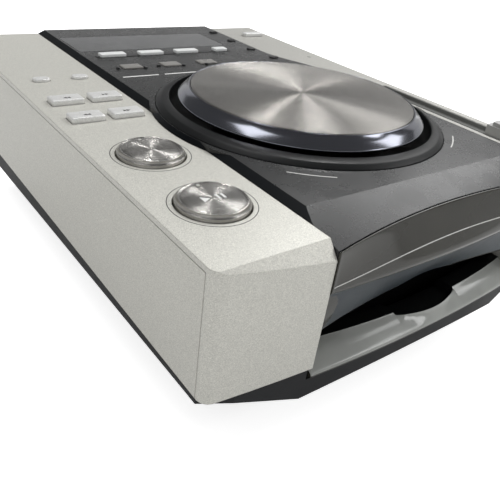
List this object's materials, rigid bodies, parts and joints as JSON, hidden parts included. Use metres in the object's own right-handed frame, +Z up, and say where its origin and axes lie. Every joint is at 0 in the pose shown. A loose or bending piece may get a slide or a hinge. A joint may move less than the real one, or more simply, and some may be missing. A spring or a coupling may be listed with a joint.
{
  "type": "tabletop disc player",
  "caption": "Tabletop disc player with a slot mouth in its bowed front, silver side blocks, a raised dark console, a large jog wheel, round cue and play keys and a tempo slider.",
  "frame": {"origin": "on the table, under the middle of the overall box", "axes": "+X to the user's right, +Y from the disc mouth to the rear sockets, +Z up"},
  "size_m": [0.218, 0.296, 0.1067],
  "materials": {
    "silver_casing": "fine metallic paint",
    "silver_keys": "satin silver paint",
    "spun_metal": "lathe-spun with fine rings",
    "dark_chrome": "polished, smoke toned",
    "console_grey": "semi-gloss dark grey",
    "front_gloss": "high gloss brownish grey",
    "window_clear": "smooth dark window",
    "white_keys": "clear white, satin",
    "smoke_keys": "flat translucent smoke",
    "black_keys": "matt black",
    "slider_silver": "satin grey",
    "pan_steel": "dark textured coat",
    "foot_rubber": "matt black rubber",
    "screw_steel": "dark zinc",
    "hub_plastic": "moulded black",
    "bearing_brass": "turned",
    "board_green": "lacquered circuit board",
    "socket_gold": "plated sockets on a dark block",
    "drive_steel": "zinc coated sheet",
    "motor_steel": "drawn motor cans",
    "roller_rubber": "soft black rubber",
    "gear_white": "moulded, uncoloured",
    "table_black": "moulded black with a soft ring"
  },
  "bodies": {
    "casing": {"base_pan": "pan_steel", "feet": "foot_rubber", "left_side_panel": "silver_casing", "right_side_panel": "silver_casing", "left_cover": "silver_casing", "right_cover": "silver_casing", "rear_panel": "pan_steel", "console_panel": "console_grey", "console_front": "front_gloss", "lower_lip": "front_gloss", "jog_ring": "console_grey", "display_window": "window_clear", "lcd_module": "board_green", "slider_channel": "black_keys", "screws": "screw_steel", "jog_bearing": "bearing_brass", "jog_sensor": "hub_plastic", "slider_pot": "gear_white", "power_inlet": "black_keys", "jack_board": "socket_gold", "main_board": "board_green", "control_board": "board_green", "power_board": "board_green", "drive_frame": "drive_steel", "loading_motor": "motor_steel", "traverse_plate": "drive_steel", "dampers": "foot_rubber", "spindle_motor": "motor_steel", "guide_rods": "drive_steel"},
    "jog_wheel": {"jog_disc": "spun_metal", "jog_rim": "dark_chrome", "jog_hub": "hub_plastic"},
    "cue_key": {"cue_button": "spun_metal"},
    "play_key": {"play_button": "spun_metal"},
    "track_back_key": {"track_back_button": "silver_keys"},
    "track_next_key": {"track_next_button": "silver_keys"},
    "search_back_key": {"search_back_button": "silver_keys"},
    "search_next_key": {"search_next_button": "silver_keys"},
    "folder_back_key": {"folder_back_button": "silver_keys"},
    "folder_next_key": {"folder_next_button": "silver_keys"},
    "mode_key_a": {"mode_button_a": "white_keys"},
    "mode_key_b": {"mode_button_b": "white_keys"},
    "mode_key_c": {"mode_button_c": "white_keys"},
    "mode_key_d": {"mode_button_d": "white_keys"},
    "loop_key_in": {"loop_in_button": "smoke_keys"},
    "loop_key_out": {"loop_out_button": "smoke_keys"},
    "loop_key_exit": {"loop_exit_button": "smoke_keys"},
    "oval_key_a": {"oval_button_a": "black_keys"},
    "oval_key_b": {"oval_button_b": "black_keys"},
    "oval_key_c": {"oval_button_c": "black_keys"},
    "oval_key_d": {"oval_button_d": "black_keys"},
    "eject_key": {"eject_button": "silver_keys"},
    "tempo_knob": {"slider_knob": "slider_silver"},
    "mains_switch": {"power_switch": "black_keys"},
    "roller": {"loading_roller": "roller_rubber"},
    "pinion": {"drive_gear": "gear_white"},
    "disc_table": {"turntable": "table_black"},
    "clamp": {"clamp_arm": "hub_plastic"},
    "pickup": {"pickup_sled": "hub_plastic"},
    "lead_screw": {"feed_screw": "drive_steel"}
  },
  "joints": [
    {"name": "jog_spin", "type": "hinge", "parent": "casing", "child": "jog_wheel", "pos_m": [0.0121, -0.036, 0.0965], "axis": [0, 0, 1], "continuous": true},
    {"name": "cue_key_press", "type": "slide", "parent": "casing", "child": "cue_key", "axis": [0, 0, -1], "range_m": [0, 0.0006], "stiffness_N_per_m": 900, "springref_m": -0.002},
    {"name": "play_key_press", "type": "slide", "parent": "casing", "child": "play_key", "axis": [0, 0, -1], "range_m": [0, 0.0006], "stiffness_N_per_m": 900, "springref_m": -0.002},
    {"name": "track_back_key_press", "type": "slide", "parent": "casing", "child": "track_back_key", "axis": [0, 0, -1], "range_m": [0, 0.0006], "stiffness_N_per_m": 900, "springref_m": -0.00111},
    {"name": "track_next_key_press", "type": "slide", "parent": "casing", "child": "track_next_key", "axis": [0, 0, -1], "range_m": [0, 0.0006], "stiffness_N_per_m": 900, "springref_m": -0.00111},
    {"name": "search_back_key_press", "type": "slide", "parent": "casing", "child": "search_back_key", "axis": [0, 0, -1], "range_m": [0, 0.0006], "stiffness_N_per_m": 900, "springref_m": -0.00111},
    {"name": "search_next_key_press", "type": "slide", "parent": "casing", "child": "search_next_key", "axis": [0, 0, -1], "range_m": [0, 0.0006], "stiffness_N_per_m": 900, "springref_m": -0.00111},
    {"name": "folder_back_key_press", "type": "slide", "parent": "casing", "child": "folder_back_key", "axis": [0, 0, -1], "range_m": [0, 0.0006], "stiffness_N_per_m": 900, "springref_m": -0.00089},
    {"name": "folder_next_key_press", "type": "slide", "parent": "casing", "child": "folder_next_key", "axis": [0, 0, -1], "range_m": [0, 0.0006], "stiffness_N_per_m": 900, "springref_m": -0.00089},
    {"name": "mode_key_a_press", "type": "slide", "parent": "casing", "child": "mode_key_a", "axis": [0, 0, -1], "range_m": [0, 0.0006], "stiffness_N_per_m": 900, "springref_m": -0.00089},
    {"name": "mode_key_b_press", "type": "slide", "parent": "casing", "child": "mode_key_b", "axis": [0, 0, -1], "range_m": [0, 0.0006], "stiffness_N_per_m": 900, "springref_m": -0.00089},
    {"name": "mode_key_c_press", "type": "slide", "parent": "casing", "child": "mode_key_c", "axis": [0, 0, -1], "range_m": [0, 0.0006], "stiffness_N_per_m": 900, "springref_m": -0.00089},
    {"name": "mode_key_d_press", "type": "slide", "parent": "casing", "child": "mode_key_d", "axis": [0, 0, -1], "range_m": [0, 0.0006], "stiffness_N_per_m": 900, "springref_m": -0.00089},
    {"name": "loop_key_in_press", "type": "slide", "parent": "casing", "child": "loop_key_in", "axis": [0, 0, -1], "range_m": [0, 0.0006], "stiffness_N_per_m": 900, "springref_m": -0.00089},
    {"name": "loop_key_out_press", "type": "slide", "parent": "casing", "child": "loop_key_out", "axis": [0, 0, -1], "range_m": [0, 0.0006], "stiffness_N_per_m": 900, "springref_m": -0.00089},
    {"name": "loop_key_exit_press", "type": "slide", "parent": "casing", "child": "loop_key_exit", "axis": [0, 0, -1], "range_m": [0, 0.0006], "stiffness_N_per_m": 900, "springref_m": -0.00089},
    {"name": "oval_key_a_press", "type": "slide", "parent": "casing", "child": "oval_key_a", "axis": [0, 0, -1], "range_m": [0, 0.0006], "stiffness_N_per_m": 900, "springref_m": -0.00089},
    {"name": "oval_key_b_press", "type": "slide", "parent": "casing", "child": "oval_key_b", "axis": [0, 0, -1], "range_m": [0, 0.0006], "stiffness_N_per_m": 900, "springref_m": -0.00089},
    {"name": "oval_key_c_press", "type": "slide", "parent": "casing", "child": "oval_key_c", "axis": [0, 0, -1], "range_m": [0, 0.0006], "stiffness_N_per_m": 900, "springref_m": -0.00089},
    {"name": "oval_key_d_press", "type": "slide", "parent": "casing", "child": "oval_key_d", "axis": [0, 0, -1], "range_m": [0, 0.0006], "stiffness_N_per_m": 900, "springref_m": -0.00089},
    {"name": "eject_key_press", "type": "slide", "parent": "casing", "child": "eject_key", "axis": [0, 0, -1], "range_m": [0, 0.0006], "stiffness_N_per_m": 900, "springref_m": -0.00111},
    {"name": "tempo_slide", "type": "slide", "parent": "casing", "child": "tempo_knob", "axis": [0, 1, 0], "range_m": [0, 0.06]},
    {"name": "mains_switch_push", "type": "slide", "parent": "casing", "child": "mains_switch", "axis": [0, -1, 0], "range_m": [0, 0.002]},
    {"name": "roller_turn", "type": "hinge", "parent": "casing", "child": "roller", "pos_m": [0.0121, -0.1098, 0.0435], "axis": [1, 0, 0], "continuous": true},
    {"name": "pinion_turn", "type": "hinge", "parent": "casing", "child": "pinion", "pos_m": [0.0831, -0.0938, 0.0369], "axis": [1, 0, 0], "continuous": true},
    {"name": "table_spin", "type": "hinge", "parent": "casing", "child": "disc_table", "pos_m": [0.0121, -0.0438, 0.0481], "axis": [0, 0, 1], "continuous": true},
    {"name": "clamp_lift", "type": "hinge", "parent": "casing", "child": "clamp", "pos_m": [0.0121, 0.0152, 0.0521], "axis": [-1, 0, 0], "range_deg": [0, 4]},
    {"name": "pickup_slide", "type": "slide", "parent": "casing", "child": "pickup", "axis": [0, 1, 0], "range_m": [0, 0.034]},
    {"name": "lead_screw_turn", "type": "hinge", "parent": "casing", "child": "lead_screw", "pos_m": [0.0441, 0.0002, 0.0391], "axis": [0, 1, 0], "range_deg": [-4, 4092]}
  ],
  "couplings": [
    {"joint": "pinion_turn", "follows": "roller_turn", "ratio": -1.8333},
    {"joint": "lead_screw_turn", "follows": "pickup_slide", "rad_per_m": 2094.4}
  ]
}
